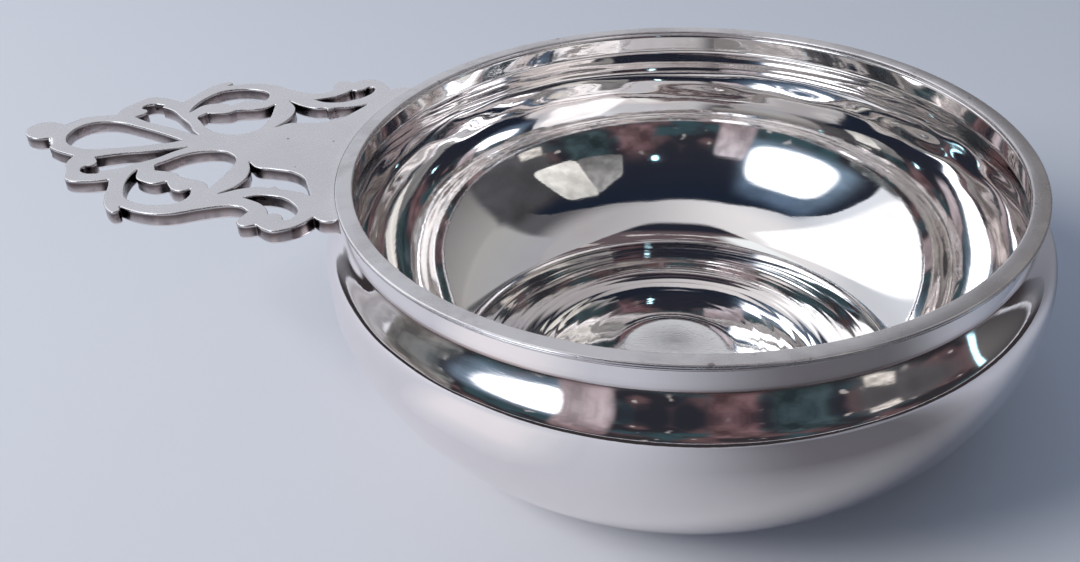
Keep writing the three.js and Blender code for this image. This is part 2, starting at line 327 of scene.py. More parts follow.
def revolve(name, profile, dents, closed=True, marks=None):
    """A ring of quads from (radius, height) points, moved along its normals by dents. An open
    profile starts and ends near the axis, and a fan of triangles closes each end."""
    rows = len(profile)
    turn = np.arange(AROUND) * 2 * math.pi / AROUND
    tangent = np.roll(profile, -1, 0) - np.roll(profile, 1, 0)
    if not closed:
        tangent[0] = profile[1] - profile[0]
        tangent[-1] = profile[-1] - profile[-2]
    length = np.linalg.norm(tangent, axis=1)[:, None]
    tangent = tangent / np.where(length > 0, length, 1)
    normal = np.stack([tangent[:, 1], -tangent[:, 0]], axis=1)
    depth = dents(profile, turn)
    radius = profile[:, :1] + normal[:, :1] * depth
    height = profile[:, 1:] + normal[:, 1:] * depth
    points = grid_points(AXIS_X + radius * np.cos(turn), radius * np.sin(turn), height)
    groups = [grid_faces(rows, AROUND, closed, True)]
    attributes = {key: np.repeat(values, AROUND) for key, values in (marks or {}).items()}
    if not closed:
        column = np.arange(AROUND)
        beside = (column + 1) % AROUND
        last = (rows - 1) * AROUND
        poles = [(AXIS_X, 0, points[start:start + AROUND, 2].mean()) for start in (0, last)]
        first_pole = np.full(AROUND, len(points))
        groups.append(np.stack([first_pole, beside, column], axis=1))
        groups.append(np.stack([first_pole + 1, last + column, last + beside], axis=1))
        points = np.vstack([points, poles])
        attributes = {key: np.append(values, (0, 0)) for key, values in attributes.items()}
    return add_mesh(name, points, groups, attributes)


def waves(size, seed, count, turns, spans):
    """Smooth unevenness over turn and distance: a sum of slanted waves, about as high as size.
    turns holds the fewest and most waves in one turn, spans the shortest and longest."""
    rng = np.random.default_rng(seed)
    parts = []
    for _ in range(count):
        whole = int(rng.integers(turns[0], turns[1] + 1))
        span = rng.uniform(*spans) * rng.choice([-1, 1])
        parts.append((whole, 2 * math.pi / span, rng.uniform(0, 2 * math.pi)))
    scale = 1 / math.sqrt(count)

    def value(turn, place):
        total = 0
        for whole, rate, phase in parts:
            total = total + np.sin(whole * turn + rate * place + phase)
        return size * (total * scale)
    return value


def fade(values, start, end):
    """0 at start and 1 at end, with a smooth change between."""
    t = np.clip((values - start) / (end - start), 0, 1)
    return t * t * (3 - 2 * t)


def bump_at(values, centre, width):
    """1 at the centre, falling smoothly to 0 within about two widths."""
    return np.exp(-((values - centre) / width) ** 2)


# Bowl

def base_height(radius):
    """Height of the base above its trough, from how steeply it falls at each radius."""
    fine = np.linspace(0, BASE_RADIUS, 441)
    places, slopes = zip(*BASE_FALL)
    fall = np.tan(np.radians(np.interp(fine, places, slopes)))
    drop = np.concatenate([[0], np.cumsum((fall[1:] + fall[:-1]) / 2 * np.diff(fine))])
    return np.interp(radius, fine, drop[-1] - drop)


def base(radii, lift):
    return np.stack([radii, lift + base_height(radii)], axis=1)


def bowl_profile():
    """The outside from the middle of the base up to the rim, and the inside drawn the same way."""
    collar_inner = COLLAR_RADIUS - COLLAR_WALL
    crease_in = (collar_inner + COLLAR_FLARE, CREASE_HEIGHT)
    shoulder_out = shoulder_curve(44)
    shoulder_in = offset(shoulder_out, WALL)[:-4]
    crease = (COLLAR_RADIUS, CREASE_HEIGHT)
    collar_top = (COLLAR_RADIUS, RIM_SEAT)
    collar_top_in = (collar_inner, RIM_SEAT)
    collar_foot_in = (collar_inner + COLLAR_FLARE * 0.8, CREASE_HEIGHT + 1.0)
    outside = [
        base(np.linspace(MIDDLE_RADIUS, BASE_RADIUS, 40), 0),
        belly_curve(90)[0],
        shoulder_out[0][1:-1],
        soft_corner(shoulder_out[0][-2], crease, collar_top, CREASE_CORNER),
        straight((COLLAR_RADIUS, CREASE_HEIGHT + 0.6), collar_top, 4),
    ]
    inside = [
        base(np.linspace(MIDDLE_RADIUS, 25, 50), WALL),
        base(np.linspace(25.2, FOOT_RADIUS - 0.6, 108), WALL),
        offset(belly_curve(110), WALL),
        shoulder_in[1:],
        soft_corner(shoulder_in[-1], crease_in, collar_top_in, INNER_CREASE_CORNER, 8),
        straight(collar_foot_in, collar_top_in, 6),
    ]
    return np.concatenate(outside), np.concatenate(inside)


def spinning_rings():
    """Radius, depth and width of each ring that the spinning tool left in the base."""
    rng = np.random.default_rng(RING_SEED)
    rings = list(INNER_RINGS)
    for k in range(RING_COUNT):
        radius = RING_START + RING_PITCH * k + rng.uniform(-0.5, 0.5)
        rings.append((radius, rng.uniform(*RING_DEPTHS), rng.uniform(*RING_WIDTHS)))
    return rings


def bowl_dents(outside_rows):
    """Spinning rings in the base, and the slight waves that a hammer and a polishing mop leave."""
    rings = spinning_rings()
    ring_waves = waves(*RING_WAVES)
    swell = waves(*SWELL_WAVES)
    streaks = waves(*STREAK_WAVES)
    short_streaks = waves(*SHORT_STREAK_WAVES)
    wall_waves = waves(*WALL_WAVES)
    fine_waves = waves(*FINE_WAVES)
    shell_waves = waves(*SHELL_WAVES)
    hammered = waves(*HAMMER_WAVES)

    def depth(profile, turn):
        radius = profile[:, :1]
        height = profile[:, 1:]
        along = radius + height
        below_crease = 1 - fade(height, CREASE_HEIGHT - 2, CREASE_HEIGHT)
        in_base = 1 - fade(radius, FOOT_RADIUS - 2, FOOT_RADIUS + 6)
        in_base = np.where(height < BASE_ZONE_HEIGHT, in_base, 0)
        shoulder = fade(height, WIDEST_HEIGHT - 7, WIDEST_HEIGHT + 2) * below_crease
        belly = (1 - in_base) * (1 - shoulder) * below_crease
        outer_base = fade(radius, 20, 32)
        carved = (0.3 + 0.7 * outer_base) * ring_waves(0, radius)
        carved = carved + (MIDDLE_SWELL + BASE_SWELL * outer_base) * swell(turn, radius)
        carved = in_base * fade(radius, 8, 15) * carved
        for place, deep, width in rings:
            carved = carved - deep * in_base * bump_at(radius, place, width)
        uneven = streaks(turn, along) + wall_waves(turn, along) + fine_waves(turn, along)
        short_streak = SHORT_STREAK + SIDE_STREAK * np.cos(turn) ** 2
        uneven = uneven + short_streak * short_streaks(turn, along)
        shell = shell_waves(turn, along)
        inner = carved + shoulder * uneven + belly * shell
        left_front = bump_at(turn, HAMMERED_TURN, HAMMERED_SPREAD)
        outer = (shell + left_front * hammered(turn, along)) * below_crease
        outer = (outer - OUTSIDE_SET_IN) * fade(height, 2, 8)
        is_inside = np.arange(len(profile))[:, None] >= outside_rows
        return np.where(is_inside, inner, outer)
    return depth


def bowl_marks(outside, inside):
    """Where dirt gathers, which is in the crease under the collar, at the base's corner and in its
    rings, and which points are on the outside."""
    crease = np.hypot(outside[:, 0] - COLLAR_RADIUS, outside[:, 1] - CREASE_HEIGHT)
    outer = np.exp(-(crease / 0.45) ** 2)
    corner = np.hypot(inside[:, 0] - FOOT_RADIUS, inside[:, 1] - WALL)
    inner = 0.5 * np.exp(-(corner / 0.6) ** 2)
    low = inside[:, 1] < BASE_ZONE_HEIGHT
    for place, deep, width in spinning_rings():
        inner = inner + np.where(low, 12 * deep * bump_at(inside[:, 0], place, width), 0)
    outside_share = np.concatenate([np.ones(len(outside)), np.zeros(len(inside))])
    return {"dirt": np.concatenate([outer, inner[::-1]]), "outside": outside_share}


def make_bowl():
    outside, inside = bowl_profile()
    profile = np.concatenate([outside, inside[::-1]])
    marks = bowl_marks(outside, inside)
    return revolve("bowl_body", profile, bowl_dents(len(outside)), closed=False, marks=marks)


# Rim wire

def rounded(points, size, steps=4):
    """A closed (radius, height) outline with every corner softened."""
    count = len(points)
    out = []
    for i in range(count):
        before, corner, after = points[i - 1], points[i], points[(i + 1) % count]
        gap = min(math.dist(before, corner), math.dist(corner, after)) * 0.45
        out.extend(soft_corner(before, corner, after, min(size, gap), steps))
    return np.array(out)


def make_rim():
    inner = RIM_RADIUS - RIM_WIDTH
    reed = RIM_TOP - REED_DROP
    profile = rounded([
        (inner, RIM_SEAT),
        (RIM_RADIUS - RIM_EDGE, RIM_SEAT),
        (RIM_RADIUS - RIM_SET_IN, RIM_SEAT + RIM_EDGE),
        (RIM_RADIUS - RIM_SET_IN, reed - REED_DEPTH),
        (RIM_RADIUS - REED_DEPTH, reed),
        (RIM_RADIUS - RIM_SET_IN, reed + REED_DEPTH),
        (RIM_RADIUS - 0.03, RIM_TOP - RIM_EDGE - RIM_CROWN),
        (RIM_RADIUS - RIM_EDGE, RIM_TOP - RIM_CROWN),
        (RIM_RADIUS - RIM_WIDTH / 2, RIM_TOP - 0.01),
        (inner + RIM_EDGE, RIM_TOP - RIM_CROWN),
        (inner, RIM_TOP - RIM_EDGE - RIM_CROWN),
    ], RIM_CORNER)
    worn = waves(*RIM_WAVES)
    rng = np.random.default_rng(NICK_SEED)
    nicks = []
    for _ in range(NICK_COUNT):
        edge = rng.choice([inner + 0.1, RIM_RADIUS - 0.1])
        deep = rng.uniform(0.4, 1) * NICK_DEPTH
        nicks.append((rng.uniform(0, 2 * math.pi), edge, deep, rng.uniform(0.012, 0.03)))

    def wear(profile, turn):
        radius = profile[:, :1]
        top = fade(profile[:, 1:], RIM_TOP - 0.35, RIM_TOP - 0.12)
        depth = -RIM_WEAR * top * (1 + worn(turn, radius))
        for place, edge, deep, wide in nicks:
            nick = bump_at(turn, place, wide) * bump_at(radius, edge, 0.3)
            depth = depth - deep * top * nick
        return depth
    return revolve("rim_band", profile, wear)


# Handle

def spline(points, step):
    """Even points along a centripetal Catmull-Rom curve, without the last point."""
    drawn = np.array(points, float)
    if len(drawn) <= 2:
        count = max(1, round(float(np.linalg.norm(drawn[-1] - drawn[0])) / step))
        return straight(drawn[0], drawn[-1], count)[:-1]
    padded = np.vstack([2 * drawn[0] - drawn[1], drawn, 2 * drawn[-1] - drawn[-2]])
    fine = []
    for i in range(1, len(padded) - 2):
        p0, p1, p2, p3 = padded[i - 1:i + 3]
        d0, d1, d2 = (math.sqrt(np.linalg.norm(b - a)) for a, b in ((p0, p1), (p1, p2), (p2, p3)))
        m1 = ((p1 - p0) / d0 - (p2 - p0) / (d0 + d1) + (p2 - p1) / d1) * d1
        m2 = ((p2 - p1) / d1 - (p3 - p1) / (d1 + d2) + (p3 - p2) / d2) * d1
        t = np.linspace(0, 1, 41)[:-1, None]
        fine.append(
            p1 + m1 * t + (3 * (p2 - p1) - 2 * m1 - m2) * t ** 2 + (2 * (p1 - p2) + m1 + m2) * t ** 3
        )
    fine = np.vstack(fine + [drawn[-1:]])
    run = np.concatenate([[0], np.cumsum(np.linalg.norm(np.diff(fine, axis=0), axis=1))])
    count = max(2, round(run[-1] / step))
    at = np.linspace(0, run[-1], count + 1)[:-1]
    return np.stack([np.interp(at, run, fine[:, 0]), np.interp(at, run, fine[:, 1])], axis=1)


def chain(start, stretches, step):
    """Even points along stretches that meet at corners, without the last point."""
    starts = [start] + [stretch[-1] for stretch in stretches]
    return np.vstack([spline([first] + rest, step) for first, rest in zip(starts, stretches)])


def placed(drawn, side):
    """Drawn points in their place in the frame, on one side of the centre line."""
    drawn = np.asarray(drawn, float)
    past = drawn[:, 0] * HANDLE_REACH / DRAWN_REACH
    across = drawn[:, 1] * HANDLE_HALF_WIDTH / DRAWN_HALF_WIDTH
    return np.stack([AXIS_X - RIM_RADIUS - past, side * across], axis=1)


def knob_points(step):
    count = round(KNOB_RADIUS * KNOB_SWEEP / step)
    angle = np.linspace(0, KNOB_SWEEP, count + 1)
    return np.stack([KNOB_CENTRE + KNOB_RADIUS * np.cos(angle), KNOB_RADIUS * np.sin(angle)], axis=1)


def handle_loops(step):
    """The outer loop and the loops of the openings, each with the metal on its left."""
    edge = [KEYHOLE_RING] + SIDE_LOBE + LARGE_RING + ROOT_VOLUTE + [ROOT_TAB]
    half = np.vstack([knob_points(step), chain(NECK, edge, step)])
    one = placed(half, 1)
    clear = np.hypot(one[:, 0] - AXIS_X, one[:, 1]) > SEAT_RADIUS + 0.1
    one = one[clear]
    start = math.atan2(one[-1, 1], AXIS_X - one[-1, 0])
    count = round(2 * start * SEAT_RADIUS / step)
    sweep = np.linspace(start, -start, count + 1)
    seat = np.stack([AXIS_X - SEAT_RADIUS * np.cos(sweep), SEAT_RADIUS * np.sin(sweep)], axis=1)
    other = one[1:][::-1] * (1, -1)
    outer = np.vstack([one, seat, other])[::-1]
    back = [(past, -side) for past, side in KEYHOLE[:0:-1]]
    holes = [placed(spline(KEYHOLE + back + KEYHOLE[:1], step), 1)]
    for opening in SIDE_OPENINGS:
        drawn = chain(opening[-1][-1], opening, step)
        holes.extend(placed(drawn, side) for side in (1, -1))
    loops = [turned(outer, 1)] + [turned(hole, -1) for hole in holes]
    rng = np.random.default_rng(SAW_SEED)
    return [hand_cut(loop, rng) for loop in loops]


def hand_cut(loop, rng):
    """The loop moved into the metal by the little that an uneven saw and file take away."""
    turn, length = run_round(loop)
    total = np.zeros(len(loop))
    for _ in range(SAW_WAVES):
        count = max(2, round(length / rng.uniform(5, 12)))
        total = total + np.sin(count * turn + rng.uniform(0, 2 * math.pi))
    taken = np.maximum(0, 1 + total / math.sqrt(SAW_WAVES)) * WOBBLE
    clear = fade(seat_gap(loop), 0.3, 2.5)
    return loop + edge_normals(loop) * (taken * clear)[:, None]


def run_round(loop):
    """How far round the loop each point lies, with the whole loop as one turn, and its length."""
    steps = np.linalg.norm(np.roll(loop, -1, 0) - loop, axis=1)
    run = np.concatenate([[0], np.cumsum(steps)[:-1]])
    return run / steps.sum() * 2 * math.pi, steps.sum()


def seat_gap(plan):
    """Distance of plan points from the seat against the rim."""
    return np.hypot(plan[:, 0] - AXIS_X, plan[:, 1]) - SEAT_RADIUS


def turned(loop, way):
    """The loop run anticlockwise for way 1, or clockwise for way -1."""
    x, y = loop[:, 0], loop[:, 1]
    area = np.sum(x * np.roll(y, -1) - np.roll(x, -1) * y) / 2
    return loop if area * way > 0 else loop[::-1]


def edge_normals(loop):
    """Unit normals at the loop's points that look into the metal."""
    ahead = np.roll(loop, -1, 0) - loop
    ahead /= np.linalg.norm(ahead, axis=1)[:, None]
    mean = ahead + np.roll(ahead, 1, 0)
    size = np.linalg.norm(mean, axis=1)[:, None]
    mean = np.where(size > 0.05, mean / np.maximum(size, 1e-9), ahead)
    return np.stack([-mean[:, 1], mean[:, 0]], axis=1)


def nearest(loops, spacing=0.05):
    """A search tree over the outline, for the distance of any point to it."""
    count = max(2, math.ceil(OUTLINE_STEP * 1.5 / spacing))
    samples = []
    for loop in loops:
        step = np.roll(loop, -1, 0) - loop
        samples.extend(loop + step * (k / count) for k in range(count))
    samples = np.vstack(samples)
    tree = kdtree.KDTree(len(samples))
    for i, point in enumerate(samples):
        tree.insert((point[0], point[1], 0), i)
    tree.balance()
    return tree


def gaps(tree, points):
    return np.array([tree.find((x, y, 0))[2] for x, y in points])


def in_metal(loops, points):
    """True for points inside the outer loop and outside the openings."""
    starts = np.vstack(loops)
    ends = np.vstack([np.roll(loop, -1, 0) for loop in loops])
    inside = np.zeros(len(points), bool)
    for chunk in range(0, len(points), 2000):
        x = points[chunk:chunk + 2000, 0][:, None]
        y = points[chunk:chunk + 2000, 1][:, None]
        spans = (starts[:, 1] > y) != (ends[:, 1] > y)
        rise = np.where(ends[:, 1] == starts[:, 1], 1, ends[:, 1] - starts[:, 1])
        cross = starts[:, 0] + (y - starts[:, 1]) * (ends[:, 0] - starts[:, 0]) / rise
        inside[chunk:chunk + 2000] = np.sum(spans & (x < cross), axis=1) % 2 == 1
    return inside


def face_points(loops, tree, fillet):
    """Points inside the outline: rows along the rounded edge, then a staggered grid."""
    rows = []
    depths = [fillet * (1 - math.cos(math.radians(a))) for a in (22, 42, 62, 80, 90)]
    depths.append(fillet + GRID_MARGIN)
    for loop in loops:
        inward = edge_normals(loop)
        for depth in depths:
            rows.append(np.column_stack([loop + inward * depth, np.full(len(loop), depth)]))
    rows = np.vstack(rows)
    rows = rows[gaps(tree, rows[:, :2]) > rows[:, 2] - 0.012]
    low = np.vstack(loops).min(0)
    high = np.vstack(loops).max(0)
    grid = []
    for i, y in enumerate(np.arange(low[1], high[1], GRID_STEP * GRID_ROW)):
        xs = np.arange(low[0] + (i % 2) * GRID_STEP / 2, high[0], GRID_STEP)
        grid.append(np.column_stack([xs, np.full(len(xs), y)]))
    grid = np.vstack(grid)
    grid = grid[in_metal(loops, grid)]
    far = gaps(tree, grid)
    keep = far > fillet + GRID_MARGIN + GRID_STEP * 0.4
    return rows[:, :2], rows[:, 2], grid[keep], far[keep]


def fill(loops, fillet):
    """One face of the handle: its plan points, their distance from the edge, and its triangles."""
    tree = nearest(loops)
    rows, row_depth, grid, grid_depth = face_points(loops, tree, fillet)
    edge = np.vstack(loops)
    points = np.vstack([edge, rows, grid])
    depth = np.concatenate([np.zeros(len(edge)), row_depth, grid_depth])
    constraints = []
    start = 0
    for loop in loops:
        count = len(loop)
        constraints.extend((start + i, start + (i + 1) % count) for i in range(count))
        start += count
    result = geometry.delaunay_2d_cdt([Vector(p) for p in points], constraints, [], 0, 1e-5)
    verts, _, faces, origins = result[:4]
    plan = np.array([tuple(v) for v in verts])
    depth = np.array([depth[o[0]] if o else 0.0 for o in origins])
    faces = np.array(faces)
    faces = faces[in_metal(loops, plan[faces].mean(axis=1))]
    order = {o: i for i, group in enumerate(origins) for o in group}
    edge_index = [order[i] for i in range(len(edge))]
    return plan, depth, faces, edge_index


def fillet_drop(depth, fillet):
    """How far a face with a rounded edge lies below its level, at a distance from the edge."""
    near = np.clip(1 - depth / fillet, 0, 1)
    return fillet * (1 - np.sqrt(np.maximum(0, 1 - near ** 2)))


def tip_lift(plan):
    past = np.maximum(0, AXIS_X - RIM_RADIUS - plan[:, 0])
    return TIP_LIFT * (past / HANDLE_REACH) ** LIFT_POWER


def nook_share(tree, loop):
    """How closed in the gap beside each edge point is: 0 in the open, 1 deep in a corner."""
    # Painted shade in the handle's corners grows with this share.
    outward = -edge_normals(loop)
    shares = [1 - gaps(tree, loop + outward * reach) / reach for reach in (0.5, 1.0, 1.8, 2.6)]
    return np.clip(np.mean(shares, axis=0) * 1.6, 0, 1)


def handle_face(loops, side):
    """The top or bottom face: its points, triangles, edge points and marks."""
    fillet = TOP_FILLET if side == "top" else BOTTOM_FILLET
    plan, depth, triangles, edge_index = fill(loops, fillet)
    seat = seat_gap(plan)
    free = fade(seat, 0.1, 1.2)
    rounding = fillet_drop(depth, fillet) * free
    if side == "top":
        filed = waves(*FILED_LENGTHWAYS)(0, plan[:, 0]) + waves(*FILED_SIDEWAYS)(0, plan[:, 1])
        worn = EDGE_WEAR * np.exp(-depth / EDGE_WEAR_REACH) * free
        solder = SOLDER_RISE * (1 - fade(seat, 0, 1.5)) ** 1.5
        height = HANDLE_TOP - rounding - worn - FILED_DEPTH + filed + solder
    else:
        height = HANDLE_TOP - HANDLE_THICKNESS + rounding + UNDERSIDE_SET_IN
        triangles = triangles[:, ::-1]
    points = np.column_stack([plan, height + tip_lift(plan)])
    marks = {
        "wall": np.clip(1 - depth / 0.08, 0, 1) * 0.5 * free,
        "rim": np.exp(-depth / 0.16) * free,
        "corner_shade": np.zeros(len(plan)),
        "drop": np.full(len(plan), 0.0 if side == "top" else 1.0),
    }
    return points, triangles, np.array(edge_index), marks


def make_handle():
    loops = handle_loops(OUTLINE_STEP)
    tree = nearest(loops)
    uneven = waves(*HANDLE_WALL_WAVES)
    top_points, top_faces, top_edge, top_marks = handle_face(loops, "top")
    low_points, low_faces, low_edge, low_marks = handle_face(loops, "bottom")
    points = [top_points, low_points]
    groups = [top_faces, low_faces + len(top_points)]
    marks = [top_marks, low_marks]
    low_edge = low_edge + len(top_points)
    count = len(top_points) + len(low_points)
    faces_so_far = np.vstack(points)
    start = 0
    for loop in loops:
        size = len(loop)
        top = top_edge[start:start + size]
        bottom = low_edge[start:start + size]
        upper = top
        # How closed in each wall's gap is, for painted shade in the corners
        closed = nook_share(tree, loop)
        inward = edge_normals(loop)
        turn, _ = run_round(loop)
        for row in range(1, WALL_ROWS):
            share = row / WALL_ROWS
            ring = faces_so_far[top] * (1 - share) + faces_so_far[bottom] * share
            bulge = WALL_BULGE + uneven(turn, share * HANDLE_THICKNESS)
            ring[:, :2] += inward * (math.sin(math.pi * share) * bulge)[:, None]
            points.append(ring)
            marks.append({
                "wall": np.ones(size),
                "rim": np.full(size, math.exp(-share * 5)),
                "corner_shade": closed,
                "drop": np.full(size, share),
            })
            current = np.arange(count, count + size)
            count += size
            groups.append(band(upper, current))
            upper = current
        groups.append(band(upper, bottom))
        start += size
    attributes = {key: np.concatenate([part[key] for part in marks]) for key in top_marks}
    return add_mesh("pierced_handle", np.vstack(points), groups, attributes)


def band(upper, lower):
    """Quads between two rings of points, the lower one below the upper."""
    return np.stack([upper, lower, np.roll(lower, -1), np.roll(upper, -1)], axis=1)


# Materials

class Nodes:
    """A short way to add shader nodes and link them."""

    def __init__(self, name, tree=None):
        self.material = None
        if tree is None:
            self.material = bpy.data.materials.new(name)
            self.material.use_nodes = True
            tree = self.material.node_tree
        self.tree = tree
        self.tree.nodes.clear()

    def add(self, kind, inputs=None, **settings):
        node = self.tree.nodes.new(kind)
        for key, value in settings.items():
            setattr(node, key, value)
        for key, value in (inputs or {}).items():
            self.put(node.inputs[key], value)
        return node

    def put(self, socket, value):
        """Links or sets an input. A colour is given as red, green and blue."""
        if isinstance(value, bpy.types.NodeSocket):
            self.tree.links.new(value, socket)
        elif socket.type == "RGBA":
            socket.default_value = (*value, 1.0)
        else:
            socket.default_value = value

    def math(self, operation, a, b=0.0, clamp=False):
        node = self.add("ShaderNodeMath", {0: a, 1: b}, operation=operation, use_clamp=clamp)
        return node.outputs[0]

    def times(self, a, b, clamp=False):
        return self.math("MULTIPLY", a, b, clamp)

    def plus(self, a, b, clamp=False):
        return self.math("ADD", a, b, clamp)

    def minus(self, a, b):
        return self.math("SUBTRACT", a, b)

    def noise(self, vector, scale, detail=3.0, roughness=0.55, distortion=0.0):
        node = self.add("ShaderNodeTexNoise", {
            "Vector": vector, "Scale": scale, "Detail": detail, "Roughness": roughness,
            "Distortion": distortion,
        })
        return node.outputs["Fac"]

    def ramp(self, value, low, high, to_low=0.0, to_high=1.0):
        node = self.add("ShaderNodeMapRange", {
            "Value": value, "From Min": low, "From Max": high, "To Min": to_low, "To Max": to_high,
        }, interpolation_type="SMOOTHSTEP")
        return node.outputs["Result"]

    def mix(self, share, a, b):
        node = self.add("ShaderNodeMix", data_type="RGBA")
        self.put(node.inputs["Factor"], share)
        self.put(node.inputs[6], a)
        self.put(node.inputs[7], b)
        return node.outputs[2]

    def attribute(self, name):
        return self.add("ShaderNodeAttribute", attribute_name=name).outputs["Fac"]

    def place(self, kind):
        return self.add("ShaderNodeTexCoord").outputs[kind]

    def parts(self, vector):
        """The x, y and z of a vector."""
        return self.add("ShaderNodeSeparateXYZ", {0: vector}).outputs

    def mapped(self, vector, **change):
        """The vector moved, turned or stretched."""
        return self.add("ShaderNodeMapping", {"Vector": vector, **change}).outputs[0]

    def pits(self, place, centres):
        """1 inside any of the small round pits, given as centre and radius in millimetres."""
        total = 0.0
        for centre, size in centres:
            node = self.add("ShaderNodeVectorMath", {
                0: place, 1: [value * MM for value in centre],
            }, operation="DISTANCE")
            inside = self.ramp(node.outputs["Value"], size * 0.5 * MM, size * MM, 1.0, 0.0)
            total = self.math("MAXIMUM", total, inside)
        return total

    def metal(self, tint, rough, height, depth):
        """The finished metal surface. Its relief is bump, depth millimetres for a height of 1."""
        bumps = self.add("ShaderNodeBump", {
            "Strength": 1.0, "Distance": depth * MM, "Height": height,
        })
        shader = self.add("ShaderNodeBsdfPrincipled", {
            "Base Color": tint, "Metallic": 1.0, "Roughness": rough, "Normal": bumps.outputs[0],
        })
        self.add("ShaderNodeOutputMaterial", {"Surface": shader.outputs[0]})
        return self.material


INSIDE_SILVER = (0.955, 0.945, 0.94)
# The outside is pinker than the inside: a painted reflection, not the silver's own colour.
OUTSIDE_SILVER_WITH_PAINTED_REFLECTION = (0.95, 0.895, 0.885)
DIRT = (0.30, 0.22, 0.21)
PIT = (0.16, 0.14, 0.14)


def round_coordinates(nodes):
    """Place, and a vector that is long round the bowl, so that marks in it run that way."""
    place = nodes.place("Object")
    x, y, z = nodes.parts(place)
    x = nodes.minus(x, AXIS_X * MM)
    radius = nodes.math("SQRT", nodes.plus(nodes.times(x, x), nodes.times(y, y)))
    turn = nodes.times(nodes.math("ARCTAN2", y, x), 0.012)
    marks = nodes.add("ShaderNodeCombineXYZ", {0: turn, 1: radius, 2: z})
    return place, marks.outputs[0]


def bowl_silver():
    """Mirror-bright silver with a faint cloud of tarnish, dirt in its creases and small pits."""
    nodes = Nodes("bowl_silver")
    place, marks = round_coordinates(nodes)
    dirt = nodes.attribute("dirt")
    cloud = nodes.noise(place, 24.0, 4.0, 0.6, 0.4)
    # The pinker outside is a painted reflection.
    bright = nodes.mix(nodes.attribute("outside"), INSIDE_SILVER, OUTSIDE_SILVER_WITH_PAINTED_REFLECTION)
    tint = nodes.mix(nodes.ramp(cloud, 0.42, 0.72), bright, (0.90, 0.86, 0.845))
    patchy = nodes.times(dirt, nodes.ramp(nodes.noise(marks, 300.0), 0.3, 0.6, 0.5, 1.1))
    tint = nodes.mix(nodes.times(patchy, 0.75, clamp=True), tint, DIRT)
    centres = []
    for azimuth, height, size in BELLY_PITS:
        radius = belly_radius(height)
        angle = math.radians(azimuth)
        centres.append(((AXIS_X + radius * math.sin(angle), -radius * math.cos(angle), height), size))
    pits = nodes.pits(place, centres)
    tint = nodes.mix(pits, tint, PIT)
    scratches = nodes.noise(marks, 1400.0, 2.0, 0.7)
    gloss = nodes.noise(place, 55.0, 3.0, 0.6)
    rough = nodes.ramp(gloss, 0.3, 0.75, 0.018, 0.05)
    rough = nodes.plus(rough, nodes.times(scratches, 0.012))
    rough = nodes.plus(rough, nodes.times(dirt, 0.12))
    relief = nodes.minus(scratches, nodes.times(pits, 20.0))
    return nodes.metal(tint, rough, relief, 0.003)


def belly_radius(height):
    curve = belly_curve(90)[0]
    return float(np.interp(height, curve[:, 1], curve[:, 0]))


def rim_silver():
    """Silver worn to a fine satin, with small dark pits and rubbing marks that run round."""
    nodes = Nodes("rim_silver")
    place, marks = round_coordinates(nodes)
    cloud = nodes.noise(place, 90.0, 4.0, 0.6, 0.4)
    tint = nodes.mix(nodes.ramp(cloud, 0.38, 0.7), (0.78, 0.76, 0.77), (0.64, 0.61, 0.62))
    pits = nodes.ramp(nodes.noise(place, 420.0, 1.0, 0.4), 0.74, 0.79)
    tint = nodes.mix(nodes.times(pits, 0.6), tint, PIT)
    rubbed = nodes.noise(marks, 1100.0, 3.0, 0.7)
    rough = nodes.ramp(cloud, 0.3, 0.75, 0.20, 0.30)
    rough = nodes.plus(rough, nodes.times(nodes.minus(rubbed, 0.5), 0.12))
    relief = nodes.plus(rubbed, nodes.times(cloud, 3.0))
    relief = nodes.minus(relief, nodes.times(pits, 2.0))
    return nodes.metal(tint, rough, relief, 0.010)


